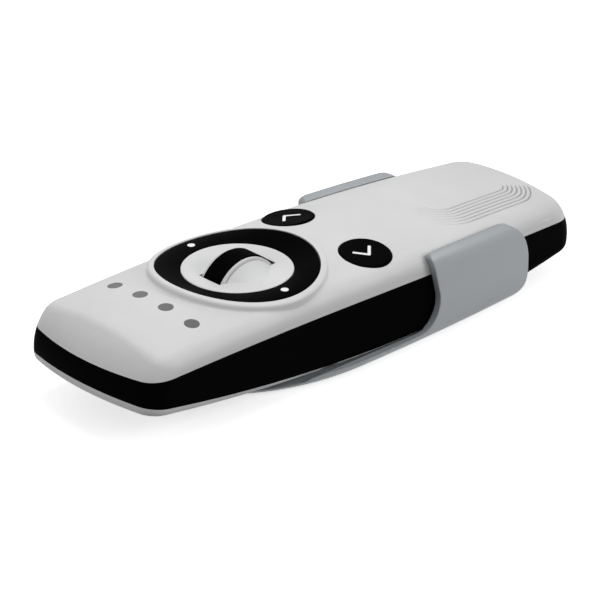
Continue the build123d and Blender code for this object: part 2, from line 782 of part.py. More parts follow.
with BuildPart() as lamp_lenses:
    with BuildSketch(Plane.XY.offset(lamp_top + REST_GAP)):
        with Locations(*lamp_places):
            Circle(LAMP_RADIUS)
    extrude(amount=HIGH)
    add(outer, mode=Mode.INTERSECT)
finish(lamp_lenses, "lamp_lenses")

# Frame below the ring, whose sleeve guides the disc
with BuildPart() as key_frame:
    with BuildSketch(Plane.XY.offset(FRAME_Z - FRAME_THICK)):
        with Locations((0, RING_Y)):
            Circle(opening + FRAME_LAP)
            Circle(sleeve_inner, mode=Mode.SUBTRACT)
        with Locations((0, RING_Y - PEG_OFFSET), (0, RING_Y + PEG_OFFSET)):
            Circle(PEG_RADIUS + PEG_GAP, mode=Mode.SUBTRACT)
    extrude(amount=FRAME_THICK)
    with BuildSketch(Plane.XY.offset(FRAME_Z)):
        with Locations((0, RING_Y)):
            Circle(sleeve_outer)
            Circle(sleeve_inner, mode=Mode.SUBTRACT)
    extrude(amount=SLEEVE_HIGH)
    with BuildSketch(Plane.XY.offset(BOARD_TOP)):
        with Locations((0, RING_Y)):
            with PolarLocations(PEG_OFFSET, 4, start_angle=45):
                Circle(FRAME_LEG)
    extrude(amount=FRAME_Z - FRAME_THICK - BOARD_TOP)
finish(key_frame, "key_frame")

# Rocking ring: level round the disc, and following the crown round the collar
ring_rise = collar_top - RING_SUNK - DISC_Z
ring_base = DISC_Z - RING_DEPTH
peg_end = SWITCH_TOP + PEG_OFFSET * math.sin(math.radians(RING_TILT)) + SEAT


def ring_top(x, y):
    share = (x**2 + y**2 - RING_INNER**2) / (RING_OUTER**2 - RING_INNER**2)
    return DISC_Z + share * (ring_rise - x**2 / (2 * CROWN_CROSS))


steps = [i * opening / 4 for i in range(-4, 5)]
ring_face = Face.make_surface_from_array_of_points(
    [[Vector(x, RING_Y + y, ring_top(x, y)) for x in steps] for y in steps]
)
with BuildPart() as ring_block:
    extrude(ring_face, amount=4 * RING_DEPTH, dir=(0, 0, -1))
with BuildPart() as control_ring:
    with BuildSketch(Plane.XY.offset(ring_base)):
        with Locations((0, RING_Y)):
            Circle(RING_OUTER)
            Circle(RING_INNER, mode=Mode.SUBTRACT)
    extrude(amount=HIGH - ring_base)
    add(ring_block.part, mode=Mode.INTERSECT)
    with BuildSketch(Plane.XY.offset(peg_end)):
        with Locations((0, RING_Y - PEG_OFFSET), (0, RING_Y + PEG_OFFSET)):
            Circle(PEG_RADIUS)
    extrude(amount=ring_base + PEG_RADIUS / 2 - peg_end)
    for side in (-1, 1):
        with BuildSketch(Plane.YZ.offset(side * (RING_OUTER - RING_PIN))):
            with Locations((RING_Y, pivot_z)):
                Circle(RING_PIN)
        extrude(amount=side * (RING_PIN + RING_PIN_LENGTH - RING_PIN_END_GAP))
finish(control_ring, "control_ring")

# Centre button: a dished disc that carries the wheel between two cheeks
disc_base = DISC_Z - DISC_THICK
dish_depth = sag(DISH_RADIUS, DISC_RADIUS - DISH_RIM)
cheek_low = WHEEL_Z - AXLE_RADIUS - CHEEK_THICK

# Fairings that rise from the dish along both sides of the wheel, turned about its axis
crest = FLANGE_RADIUS - FAIRING_SUNK
foot_x = wheel_slot + FAIRING_WIDTH
foot_radius = DISC_Z - dish_depth + sag(DISH_RADIUS, foot_x) - WHEEL_Z
slope_x = (wheel_slot + FAIRING_CREST + foot_x) / 2 - FAIRING_HOLLOW
slope_radius = (crest + foot_radius) / 2 - FAIRING_HOLLOW
with BuildPart() as fairings:
    with BuildSketch(Plane.XY.offset(WHEEL_Z)):
        with BuildLine():
            crest_x = wheel_slot + FAIRING_CREST
            Line((-crest_x, RING_Y - crest), (crest_x, RING_Y - crest))
            for side in (-1, 1):
                ThreePointArc(
                    (side * crest_x, RING_Y - crest),
                    (side * slope_x, RING_Y - slope_radius),
                    (side * foot_x, RING_Y - foot_radius),
                )
                Line((side * foot_x, RING_Y - foot_radius), (side * foot_x, RING_Y))
            Line((-foot_x, RING_Y), (foot_x, RING_Y))
        make_face()
    revolve(axis=Axis((0, RING_Y, WHEEL_Z), (-1, 0, 0)), revolution_arc=HALF_TURN)
    with BuildSketch(Plane.XY.offset(disc_base)):
        with Locations((0, RING_Y)):
            Circle(DISC_RADIUS - DISH_RIM)
    extrude(amount=HIGH, mode=Mode.INTERSECT)

with BuildPart() as centre_button:
    with BuildSketch(Plane.XY.offset(disc_base)):
        with Locations((0, RING_Y)):
            Circle(DISC_RADIUS)
    extrude(amount=DISC_THICK)
    fillet(centre_button.edges().sort_by(Axis.Z)[-1], DISH_RIM / 3)
    with Locations((0, RING_Y, DISC_Z - dish_depth + DISH_RADIUS)):
        Sphere(DISH_RADIUS, mode=Mode.SUBTRACT)
    add(fairings.part)
    with BuildSketch(Plane.XY.offset(FRAME_Z + PRESS + REST_GAP)):
        with Locations((0, RING_Y)):
            Circle(DISC_RADIUS)
            Circle(DISC_RADIUS - SKIRT_THICK, mode=Mode.SUBTRACT)
    extrude(amount=disc_base - FRAME_Z - PRESS - REST_GAP)
    with BuildSketch(Plane.XY.offset(cheek_low)):
        with Locations((-wheel_slot - CHEEK_THICK / 2, RING_Y), (wheel_slot + CHEEK_THICK / 2, RING_Y)):
            Rectangle(CHEEK_THICK, 2 * CHEEK_HALF)
    extrude(amount=disc_base - cheek_low)
    with BuildSketch(Plane.XY.offset(SWITCH_TOP + PRESS + SEAT)):
        with Locations((stem_x, RING_Y)):
            Circle(PEG_RADIUS)
    extrude(amount=disc_base - SWITCH_TOP - PRESS - SEAT)
    with BuildSketch(Plane.YZ.offset(-wheel_slot)):
        with Locations((RING_Y, WHEEL_Z)):
            Circle(WHEEL_RADIUS + WHEEL_GAP)
    extrude(amount=2 * wheel_slot, mode=Mode.SUBTRACT)
    with BuildSketch(Plane.YZ.offset(-cheek_x)):
        with Locations((RING_Y, WHEEL_Z)):
            Circle(AXLE_RADIUS + FIT)
    extrude(amount=2 * cheek_x, mode=Mode.SUBTRACT)
finish(centre_button, "centre_button")

# Thumbwheel and its encoder
with BuildPart() as wheel_hub:
    with BuildSketch(Plane.YZ.offset(-WHEEL_HALF)):
        with Locations((RING_Y, WHEEL_Z)):
            Circle(FLANGE_RADIUS)
    extrude(amount=2 * WHEEL_HALF)
    with BuildSketch(Plane.YZ.offset(-TREAD_WIDTH / 2)):
        with Locations((RING_Y, WHEEL_Z)):
            Circle(WHEEL_RADIUS)
            Circle(WHEEL_RADIUS - TREAD_THICK, mode=Mode.SUBTRACT)
    extrude(amount=TREAD_WIDTH, mode=Mode.SUBTRACT)
    with BuildSketch(Plane.YZ.offset(-WHEEL_HALF)):
        with Locations((RING_Y, WHEEL_Z)):
            Circle(AXLE_RADIUS)
    extrude(amount=2 * WHEEL_HALF, mode=Mode.SUBTRACT)
finish(wheel_hub, "wheel_hub")

with BuildPart() as wheel_tyre:
    with BuildSketch(Plane.YZ.offset(-TREAD_WIDTH / 2)):
        with Locations((RING_Y, WHEEL_Z)):
            Circle(WHEEL_RADIUS)
            Circle(WHEEL_RADIUS - TREAD_THICK, mode=Mode.SUBTRACT)
    extrude(amount=TREAD_WIDTH)
    rims = wheel_tyre.edges().filter_by(GeomType.CIRCLE)
    fillet([edge for edge in rims if edge.radius > WHEEL_RADIUS - SEAT], TREAD_ROUND)
finish(wheel_tyre, "wheel_tyre")

axle_end = cheek_x + ENCODER_SIZE[0] - SEAT
with BuildPart() as wheel_axle:
    with BuildSketch(Plane.YZ.offset(-cheek_x + SEAT)):
        with Locations((RING_Y, WHEEL_Z)):
            Circle(AXLE_RADIUS)
    extrude(amount=cheek_x - SEAT + axle_end)
finish(wheel_axle, "wheel_axle")

with BuildPart() as wheel_encoder:
    with BuildSketch(Plane.YZ.offset(cheek_x)):
        with Locations((RING_Y, WHEEL_Z)):
            Rectangle(ENCODER_SIZE[1], ENCODER_SIZE[2])
            Circle(AXLE_RADIUS + FIT, mode=Mode.SUBTRACT)
    extrude(amount=ENCODER_SIZE[0])
finish(wheel_encoder, "wheel_encoder")

# Round keys, square to the crown
for side, name in ((-1, "channel_button_left"), (1, "channel_button_right")):
    with BuildPart() as channel_button:
        with BuildSketch(key_plane(side, key_depth)):
            Circle(KEY_RADIUS)
        extrude(amount=key_depth + KEY_PROUD)
        fillet(channel_button.edges().filter_by(GeomType.CIRCLE).sort_by(Axis.Z)[-1], KEY_ROUND)
        with BuildSketch(key_plane(side, key_depth)):
            Rectangle(KEY_TAB[0], KEY_TAB[1])
        extrude(amount=KEY_TAB[2])
        with BuildSketch(key_plane(side, stem_length)):
            Circle(KEY_STEM)
        extrude(amount=stem_length - key_depth)
    finish(channel_button, name)

# Pairing key
pair_low = belly(PAIR_Y) + PAIR_SUNK
pair_high = BOARD_Z - SWITCH_SIZE[2] - SWITCH_PLUNGER_HIGH - PRESS - SEAT
with BuildPart() as pairing_button:
    with BuildSketch(Plane.XY.offset(pair_low)):
        with Locations((0, PAIR_Y)):
            Circle(PAIR_RADIUS)
    extrude(amount=PAIR_TUBE_TOP - pair_low)
    with BuildSketch(Plane.XY.offset(PAIR_TUBE_TOP + 2 * SEAT)):
        with Locations((0, PAIR_Y)):
            Circle(PAIR_FLANGE[0])
    extrude(amount=PAIR_FLANGE[1])
    with BuildSketch(Plane.XY.offset(pair_low)):
        with Locations((0, PAIR_Y)):
            Circle(PEG_RADIUS)
    extrude(amount=pair_high - pair_low)
finish(pairing_button, "pairing_button")

# Holder: a wall round the handset's form, cut to a tongue and two arms
shell_out = REST_GAP + HOLDER_WALL
arm_rear = TAIL_Y - ARM_REAR
arm_x = side_x(arm_rear, -shell_out)
arm_bend_y = (TAPER_Y + arm_rear) / 2
with BuildPart() as holder_block:
    with BuildSketch(Plane.XY):
        with BuildLine():
            tongue_half = HALF_WIDTH + shell_out
            EllipticalCenterArc((0, TAPER_Y), tongue_half, TONGUE_LENGTH, HALF_TURN, arc_size=HALF_TURN)
            for side in (-1, 1):
                ThreePointArc(
                    (side * (HALF_WIDTH + shell_out), TAPER_Y),
                    (side * side_x(arm_bend_y, -shell_out), arm_bend_y),
                    (side * arm_x, arm_rear),
                )
            Line((-arm_x, arm_rear), (arm_x, arm_rear))
        make_face()
    extrude(amount=HIGH)
    fillet(holder_block.edges().group_by(Axis.Z)[0].sort_by(Axis.Y)[:-1], HOLDER_EDGE)
    add(crown_part(-shell_out), mode=Mode.INTERSECT)
    arm_rims = [
        edge
        for edge in rim_edges(holder_block.part, True)
        if abs((edge @ 0.5).X) > HALF_WIDTH / 2 and (edge @ 0.5).Y > TAPER_Y
    ]
    fillet(arm_rims, SHOULDER + shell_out)

with BuildPart() as slide_way:
    with BuildSketch(Plane.XZ.offset(-BELLY_Y)):
        with BuildLine():
            wide = HALF_WIDTH + REST_GAP
            Polyline((-wide, HIGH), (-wide, BASE_THICK), (wide, BASE_THICK), (wide, HIGH), (-wide, HIGH))
        make_face()
    extrude(amount=BODY_LENGTH)
    low_edges = slide_way.edges().filter_by(Axis.Y).group_by(Axis.Z)[0]
    fillet(low_edges, BILGE + REST_GAP)

arm_front = TAIL_Y - ARM_FRONT
arm_waist = TAIL_Y - ARM_WAIST
top_front = crown_z(0, arm_front) - ARM_TOP_FRONT
top_rear = crown_z(0, arm_rear) - ARM_TOP_REAR
with BuildPart() as profile:
    with BuildSketch(Plane.YZ) as profile_sketch:
        with BuildLine():
            Polyline(
                (TAPER_Y - TONGUE_LENGTH, 0),
                (arm_rear, 0),
                (arm_rear, top_rear),
                (arm_front, top_front),
                (arm_waist, LIP_HIGH),
                (TAPER_Y - TONGUE_LENGTH, LIP_HIGH),
                close=True,
            )
        make_face()
        for point, radius in (
            ((arm_rear, 0), ARM_HEEL_ROUND),
            ((arm_rear, top_rear), ARM_TAIL_ROUND),
            ((arm_front, top_front), ARM_NOSE_ROUND),
            ((arm_waist, LIP_HIGH), ARM_FOOT_ROUND),
        ):
            corner = profile_sketch.vertices().sort_by_distance((*point, 0))[0]
            fillet(corner, radius)
    extrude(amount=HALF_WIDTH * 2, both=True)

# The arms' top edges are square to their bent walls
with BuildPart() as arm_tops:
    for side in (-1, 1):
        front = Vector(side * (side_x(arm_front, -shell_out) - ARM_TOP_INSET), arm_front, top_front)
        rear = Vector(side * (side_x(arm_rear, -shell_out) - ARM_TOP_INSET), arm_rear, top_rear)
        lean = math.radians(ARM_TOP_LEAN)
        outward = Vector(side * math.cos(lean), 0, math.sin(lean))
        along = (rear - front).normalized()
        normal = outward.cross(along) * side
        cut_plane = Plane(origin=(front + rear) / 2, x_dir=along, z_dir=normal)
        with BuildSketch(cut_plane):
            Rectangle(REACH / 2, HALF_WIDTH)
        extrude(amount=HALF_WIDTH / 2)

wall_screw_middle = TAPER_Y + WALL_SCREW_FROM_TAPER
with BuildPart() as holder_cradle:
    add(holder_block.part)
    add(profile.part, mode=Mode.INTERSECT)
    add(nest, mode=Mode.SUBTRACT)
    add(slide_way.part, mode=Mode.SUBTRACT)
    add(arm_tops.part, mode=Mode.SUBTRACT)
    with Locations(
        (0, wall_screw_middle - WALL_SCREW_PITCH / 2, BASE_THICK),
        (0, wall_screw_middle + WALL_SCREW_PITCH / 2, BASE_THICK),
    ):
        CounterSinkHole(WALL_SCREW_HOLE, WALL_SCREW_HEAD, counter_sink_angle=90)
finish(holder_cradle, "holder_cradle")
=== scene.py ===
import math

import bmesh
import bpy
from mathutils import Matrix, Vector
from mathutils.bvhtree import BVHTree


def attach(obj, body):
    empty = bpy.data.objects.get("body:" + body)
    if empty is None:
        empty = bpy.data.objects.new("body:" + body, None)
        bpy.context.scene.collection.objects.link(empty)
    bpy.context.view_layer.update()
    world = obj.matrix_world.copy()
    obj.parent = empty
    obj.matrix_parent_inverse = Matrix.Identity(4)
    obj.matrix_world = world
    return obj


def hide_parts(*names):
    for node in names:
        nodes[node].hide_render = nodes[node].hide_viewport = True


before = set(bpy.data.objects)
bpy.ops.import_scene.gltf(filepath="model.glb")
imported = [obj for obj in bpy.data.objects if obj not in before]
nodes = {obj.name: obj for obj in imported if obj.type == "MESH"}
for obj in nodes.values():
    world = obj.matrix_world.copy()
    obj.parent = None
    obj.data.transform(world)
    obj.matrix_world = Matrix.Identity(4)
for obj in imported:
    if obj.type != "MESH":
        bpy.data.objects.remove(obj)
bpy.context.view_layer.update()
scene = bpy.context.scene
scene.view_settings.view_transform = "Standard"

MM = 0.001

# Places on the handset, in millimetres, from the part's own sizes
RING_Y = -25.95  # middle of the ring and the disc
RING_INNER = 14.35
RING_OUTER = 20.35
DISC_Z = 26.3  # height of the disc's rim and of the ring's inner edge
RING_RISE = 1.98  # from the ring's inner edge to its outer one
DOT_X = 17.25
DOT_RADIUS = 0.98
KEY_SIDE = 14.2  # middles of the round keys
KEY_Y = 4.25
KEY_PROUD = 0.2  # their tops above the crown
CROWN_CROSS = 92.6  # radius of the crown across the handset
CROWN_LONG = 943.0  # and along it
CROWN_Y = -23.95  # its highest point
CROWN_Z = 27.05

# Materials: scales per metre, heights and radii in metres
NOISE_START = 0.3  # a ramp's two colours lie at these shares of the noise
NOISE_END = 0.7
CLOUD_SCALE = 45.0
SHEEN_SCALE = 160.0
METAL_SCALE = 900.0
GRAIN_HEIGHT = 0.00004
COAT_ROUGH = 0.12
EDGE_SAMPLES = 6
HOLDER_EDGE = 0.0006
GROOVE_PAINTED_SHADE = 0.58  # painted shade: the base colour at a groove's bottom is multiplied by this share


def new_material(name):
    material = bpy.data.materials.new(name)
    material.use_nodes = True
    tree = material.node_tree
    shader = tree.nodes["Principled BSDF"]
    place = tree.nodes.new("ShaderNodeTexCoord")
    return material, tree, shader, place.outputs["Object"]


def noise(tree, where, scale, detail, roughness=0.5):
    node = tree.nodes.new("ShaderNodeTexNoise")
    node.inputs["Scale"].default_value = scale
    node.inputs["Detail"].default_value = detail
    node.inputs["Roughness"].default_value = roughness
    tree.links.new(where, node.inputs["Vector"])
    return node.outputs["Fac"]


def ramp(tree, factor, low, high):
    node = tree.nodes.new("ShaderNodeValToRGB")
    elements = node.color_ramp.elements
    elements[0].position, elements[1].position = NOISE_START, NOISE_END
    elements[0].color, elements[1].color = low, high
    tree.links.new(factor, node.inputs["Fac"])
    return node.outputs["Color"]


def grey(value):
    return (value, value, value, 1.0)


def tint(colour, share):
    return tuple(min(1.0, channel * share) for channel in colour) + (1.0,)


def moulded(name, colour, rough, spread=0.03, grain=2600.0, bump=0.05, coat=0.0, gleam=0.5):
    """Moulded plastic: faint cloudiness in its colour, uneven sheen and a fine grain."""
    material, tree, shader, where = new_material(name)
    cloud = noise(tree, where, CLOUD_SCALE, 4.0)
    shade = ramp(tree, cloud, tint(colour, 1 - spread), tint(colour, 1 + spread))
    tree.links.new(shade, shader.inputs["Base Color"])
    sheen = noise(tree, where, SHEEN_SCALE, 5.0)
    gloss = ramp(tree, sheen, grey(rough - 0.04), grey(rough + 0.05))
    tree.links.new(gloss, shader.inputs["Roughness"])
    fine = noise(tree, where, grain, 2.0)
    lift = tree.nodes.new("ShaderNodeBump")
    lift.inputs["Strength"].default_value = bump
    lift.inputs["Distance"].default_value = GRAIN_HEIGHT
    tree.links.new(fine, lift.inputs["Height"])
    tree.links.new(lift.outputs["Normal"], shader.inputs["Normal"])
    shader.inputs["Specular IOR Level"].default_value = gleam
    shader.inputs["Coat Weight"].default_value = coat
    shader.inputs["Coat Roughness"].default_value = COAT_ROUGH
    return material


def metal(name, colour, rough, stretch=(1.0, 1.0, 1.0)):
    """Metal with faint lines, which a stretch draws out."""
    material, tree, shader, where = new_material(name)
    mapping = tree.nodes.new("ShaderNodeMapping")
    mapping.inputs["Scale"].default_value = stretch
    tree.links.new(where, mapping.inputs["Vector"])
    lines = noise(tree, mapping.outputs["Vector"], METAL_SCALE, 4.0, 0.6)
    shade = ramp(tree, lines, tint(colour, 0.9), tint(colour, 1.06))
    tree.links.new(shade, shader.inputs["Base Color"])
    gloss = ramp(tree, lines, grey(rough - 0.06), grey(rough + 0.08))
    tree.links.new(gloss, shader.inputs["Roughness"])
    shader.inputs["Metallic"].default_value = 1.0
    return material


def sums(tree):
    """A short way to write sums with shader nodes."""

    def calc(operation, *values):
        node = tree.nodes.new("ShaderNodeMath")
        node.operation = operation
        for socket, value in zip(node.inputs, values):
            if isinstance(value, (int, float)):
                socket.default_value = value
            else:
                tree.links.new(value, socket)
        return node.outputs[0]

    return calc


def seen(tree):
    """1 where the camera looks, straight or by a mirror or through glass."""
    path = tree.nodes.new("ShaderNodeLightPath")
    calc = sums(tree)
    direct = calc("MAXIMUM", path.outputs["Is Camera Ray"], path.outputs["Is Glossy Ray"])
    return calc("MAXIMUM", direct, path.outputs["Is Transmission Ray"])


def paint_groove_shade(material, low):
    """Painted shade: the base colour grows darker with depth in a groove, down to the share low at
    its bottom.
    """
    tree = material.node_tree
    shader = tree.nodes["Principled BSDF"]
    paint = shader.inputs["Base Color"].links[0].from_socket
    depth = tree.nodes.new("ShaderNodeAttribute")
    depth.attribute_name = "groove_depth"
    mix = tree.nodes.new("ShaderNodeMix")
    mix.data_type = "RGBA"
    mix.blend_type = "MULTIPLY"
    mix.inputs["B"].default_value = grey(low)
    tree.links.new(depth.outputs["Fac"], mix.inputs["Factor"])
    tree.links.new(paint, mix.inputs["A"])
    tree.links.new(mix.outputs["Result"], shader.inputs["Base Color"])


def soften_edges(material, radius):
    """Edges catch the light as if they were rounded by this radius."""
    tree = material.node_tree
    shader = tree.nodes["Principled BSDF"]
    lift = shader.inputs["Normal"].links[0].from_node
    edge = tree.nodes.new("ShaderNodeBevel")
    edge.samples = EDGE_SAMPLES
    edge.inputs["Radius"].default_value = radius
    tree.links.new(edge.outputs["Normal"], lift.inputs["Normal"])


casing = moulded("casing_satin", (0.628, 0.628, 0.63), 0.5, gleam=0.3)
grip = moulded("casing_grip", (0.628, 0.628, 0.63), 0.5, gleam=0.3)
# painted shade in the grooves' colour, darker with their depth
paint_groove_shade(grip, GROOVE_PAINTED_SHADE)
holder = moulded("holder_satin", (0.315, 0.339, 0.359), 0.36, gleam=0.8)
soften_edges(holder, HOLDER_EDGE)
disc = moulded("disc_satin", (0.625, 0.627, 0.628), 0.45, gleam=0.3)
black = moulded("black_satin", (0.0012, 0.0012, 0.0013), 0.5, spread=0.3, gleam=0.004)
tread = moulded(
    "tread_rubber", (0.0014, 0.0014, 0.0015), 0.7, spread=0.3, grain=1800.0, bump=0.25, gleam=0.004
)
mark = moulded("mark_white", (0.80, 0.80, 0.81), 0.4, spread=0.02)
lens = moulded("lens_smoke", (0.118, 0.12, 0.122), 0.35, spread=0.05, bump=0.02, gleam=0.12)
inner = moulded("inner_grey", (0.30, 0.31, 0.33), 0.5, spread=0.05)
parts_black = moulded("parts_black", (0.02, 0.02, 0.022), 0.5, spread=0.15)
board = moulded("board_green", (0.012, 0.11, 0.045), 0.35, spread=0.12, coat=0.4)
lamp = moulded("lamp_milky", (0.72, 0.70, 0.60), 0.3, spread=0.04)
steel = metal("steel_zinc", (0.52, 0.52, 0.53), 0.3)
nickel = metal("nickel", (0.66, 0.64, 0.60), 0.22, stretch=(1.0, 8.0, 1.0))
copper = metal("copper", (0.72, 0.38, 0.20), 0.25)
can = metal("can_tin", (0.62, 0.62, 0.61), 0.35, stretch=(6.0, 1.0, 1.0))

finish_of = {
    "top_shell": grip,
    "side_band": black,
    "bottom_shell": casing,
    "case_screws": steel,
    "battery_door": casing,
    "battery_door_screw": steel,
    "coin_cell": nickel,
    "battery_contact_minus": nickel,
    "battery_contact_plus": nickel,
    "circuit_board": board,
    "ring_switches": parts_black,
    "centre_switch": parts_black,
    "channel_switches": parts_black,
    "pairing_switch": parts_black,
    "radio_module": can,
    "antenna": copper,
    "indicator_leds": lamp,
    "lamp_lenses": lens,
    "key_frame": inner,
    "control_ring": black,
    "centre_button": disc,
    "wheel_hub": disc,
    "wheel_tyre": tread,
    "wheel_axle": steel,
    "wheel_encoder": parts_black,
    "channel_button_left": black,
    "channel_button_right": black,
    "pairing_button": parts_black,
    "holder_cradle": holder,
}
for name, material in finish_of.items():
    mesh = nodes[name].data
    for index in range(len(mesh.materials)):
        mesh.materials[index] = material
    if not mesh.materials:
        mesh.materials.append(material)

# Marks let into the keys, in millimetres
INLAY_DEPTH = 0.3
INLAY_PROUD = 0.03
CIRCLE_POINTS = 40
CHEVRON_HALF = 2.65  # half its breadth
CHEVRON_DEEP = 2.75  # from the ends of its strokes to its point
CHEVRON_STROKE = 0.4  # half a stroke's width
CHEVRON_END_STEPS = 10
CHEVRON_POINT_STEPS = 8


def add_piece(name, built, material, body):
    mesh = bpy.data.meshes.new(name)
    built.normal_update()
    built.to_mesh(mesh)
    built.free()
    mesh.materials.append(material)
    piece = bpy.data.objects.new(name, mesh)
    scene.collection.objects.link(piece)
    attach(piece, body)


def inlay(outline, place):
    """A thin closed plate of this outline, whose place turns (x, y, height) into a point, in mm."""
    built = bmesh.new()
    top = [built.verts.new(Vector(place(x, y, INLAY_PROUD)) * MM) for x, y in outline]
    low = [built.verts.new(Vector(place(x, y, -INLAY_DEPTH)) * MM) for x, y in outline]
    built.faces.new(top)
    built.faces.new(list(reversed(low)))
    count = len(outline)
    for i in range(count):
        j = (i + 1) % count
        built.faces.new((top[j], top[i], low[i], low[j]))
    bmesh.ops.recalc_face_normals(built, faces=built.faces)
    return built


def circle(radius):
    angles = [2 * math.pi * i / CIRCLE_POINTS for i in range(CIRCLE_POINTS)]
    return [(radius * math.cos(angle), radius * math.sin(angle)) for angle in angles]


def ring_top(x, y):
    """Height of the ring's upper face, at a place given from its middle."""
    share = (x**2 + y**2 - RING_INNER**2) / (RING_OUTER**2 - RING_INNER**2)
    return DISC_Z + share * (RING_RISE - x**2 / (2 * CROWN_CROSS))


for side, name in ((-1, "ring_dot_left"), (1, "ring_dot_right")):
    def dot_place(x, y, lift, side=side):
        x += side * DOT_X
        return (x, RING_Y + y, ring_top(x, y) + lift)

    add_piece(name, inlay(circle(DOT_RADIUS), dot_place), mark, "rocking_ring")


def chevron_outline():
    """A bent stroke, its point towards +X, with rounded ends and a rounded point."""
    tip = Vector((CHEVRON_DEEP / 2, 0))
    low = Vector((-CHEVRON_DEEP / 2, -CHEVRON_HALF))
    high = Vector((-CHEVRON_DEEP / 2, CHEVRON_HALF))
    points = []

    def arc(centre, start, sweep, count):
        for i in range(count + 1):
            angle = start + sweep * i / count
            points.append(centre + CHEVRON_STROKE * Vector((math.cos(angle), math.sin(angle))))

    slope = math.atan2(CHEVRON_HALF, CHEVRON_DEEP)
    arc(low, slope + math.pi / 2, math.pi, CHEVRON_END_STEPS)
    arc(tip, slope - math.pi / 2, math.pi - 2 * slope, CHEVRON_POINT_STEPS)
    arc(high, math.pi / 2 - slope, math.pi, CHEVRON_END_STEPS)
    points.append(tip - Vector((CHEVRON_STROKE / math.sin(slope), 0)))
    return [(point.x, point.y) for point in points]


key_lean = math.asin(KEY_SIDE / CROWN_CROSS)
key_reach = CROWN_LONG - CROWN_CROSS + math.sqrt(CROWN_CROSS**2 - KEY_SIDE**2)
key_crown = CROWN_Z - CROWN_LONG + math.sqrt(key_reach**2 - (KEY_Y - CROWN_Y) ** 2)
for side, name, body in ((-1, "chevron_left", "left_key"), (1, "chevron_right", "right_key")):
    normal = Vector((side * math.sin(key_lean), 0, math.cos(key_lean)))
    along = Vector((side * math.cos(key_lean), 0, -math.sin(key_lean)))
    middle = Vector((side * KEY_SIDE, KEY_Y, key_crown)) + normal * KEY_PROUD

    def key_place(x, y, lift, middle=middle, along=along, normal=normal):
        return middle + along * x + Vector((0, 1, 0)) * y + normal * lift

    add_piece(name, inlay(chevron_outline(), key_place), mark, body)

# Grip grooves: outlines at even distances round a core, on the side towards +X, in millimetres
CORE_HALF = 3.2
CORE_FRONT = 39.5
CORE_REAR = 59.4
GROOVE_COUNT = 7
GROOVE_FIRST = 4.95
GROOVE_PITCH = 1.27
GROOVE_LEVEL = 43.0  # from here on, towards the tail, a groove comes nearer to the core's line
GROOVE_TAPER = 0.06  # by this share of the way, and towards the nose it moves off
GROOVE_REAR_SQUEEZE = 1.13
GROOVE_DEPTH = 0.3
GROOVE_SECTION = ((-0.49, 0.55), (-0.12, 0.06), (0.0, 0.0), (0.12, 0.06), (0.49, 0.55))
GROOVE_CLEAR = 0.03  # at its ends, a cutting bar's lower edge is this far above the surface
GROOVE_FADE_Y = (26.0, 42.0)  # where a groove grows from nothing to its full depth
GROOVE_FADE_X = (1.5, 5.0)
GROOVE_LEAN = 0.5
GROOVE_LEAST = 0.002  # a share of the depth below which a groove ends
GROOVE_TURN_STEP = 5  # degrees
GROOVE_FLANK_STEPS = 20
GROOVE_RUNS = (1.2, 0.6)
RAY_START = 100

# The cut mesh against the one it was cut from
WELD_GAP = 1e-7  # metres
KEPT_GAP = 2e-6  # metres
CORNER_INSET = 0.03  # share of the way from a corner to its face's middle
SAME_FACING = 0.95


def ease(value, start, end):
    share = min(1.0, max(0.0, (value - start) / (end - start)))
    return share * share * (3 - 2 * share)


def groove_line(number):
    """Points along one groove, front end to rear end, each with its share of the depth."""
    first = GROOVE_FIRST + number * GROOVE_PITCH
    front = first - (CORE_FRONT - GROOVE_LEVEL) * GROOVE_TAPER
    rear = first - (CORE_REAR - GROOVE_LEVEL) * GROOVE_TAPER
    turns = [math.radians(angle) for angle in range(0, 91, GROOVE_TURN_STEP)]
    line = [(CORE_HALF - run, CORE_FRONT - front) for run in GROOVE_RUNS]
    for turn in turns:
        line.append((CORE_HALF + front * math.sin(turn), CORE_FRONT - front * math.cos(turn)))
    for step in range(1, GROOVE_FLANK_STEPS):
        y = CORE_FRONT + (CORE_REAR - CORE_FRONT) * step / GROOVE_FLANK_STEPS
        line.append((CORE_HALF + first - (y - GROOVE_LEVEL) * GROOVE_TAPER, y))
    for turn in turns:
        y = CORE_REAR + rear * math.sin(turn) / GROOVE_REAR_SQUEEZE
        line.append((CORE_HALF + rear * math.cos(turn), y))
    for run in reversed(GROOVE_RUNS):
        line.append((CORE_HALF - run, CORE_REAR + rear / GROOVE_REAR_SQUEEZE))
    points = []
    for x, y in line:
        past = max(0.0, y - CORE_REAR) * GROOVE_REAR_SQUEEZE
        share = ease(y, *GROOVE_FADE_Y) * ease(x - GROOVE_LEAN * past, *GROOVE_FADE_X)
        if share > GROOVE_LEAST:
            points.append((x, y, share))
    return points


def groove_cutter(surface):
    """All grooves as closed bars, each with its lower edge sunk in the surface."""
    down = Vector((0, 0, -1))
    built = bmesh.new()
    for number in range(GROOVE_COUNT):
        line = groove_line(number)
        hits = [surface.ray_cast(Vector((x, y, RAY_START)) * MM, down)[:2] for x, y, _ in line]
        last = len(hits) - 1
        rings = []
        for i, (place, normal) in enumerate(hits):
            share = line[i][2]
            along = (hits[min(i + 1, last)][0] - hits[max(i - 1, 0)][0]).normalized()
            side = along.cross(normal).normalized()
            deep = GROOVE_DEPTH * share - GROOVE_CLEAR * (1 - share)
            ring = [place + (side * u + normal * (v - deep)) * MM for u, v in GROOVE_SECTION]
            rings.append([built.verts.new(point) for point in ring])
        for one, two in zip(rings, rings[1:]):
            for k in range(len(one)):
                m = (k + 1) % len(one)
                built.faces.new((one[k], one[m], two[m], two[k]))
        built.faces.new(list(reversed(rings[0])))
        built.faces.new(rings[-1])
    bmesh.ops.recalc_face_normals(built, faces=built.faces)
    return built


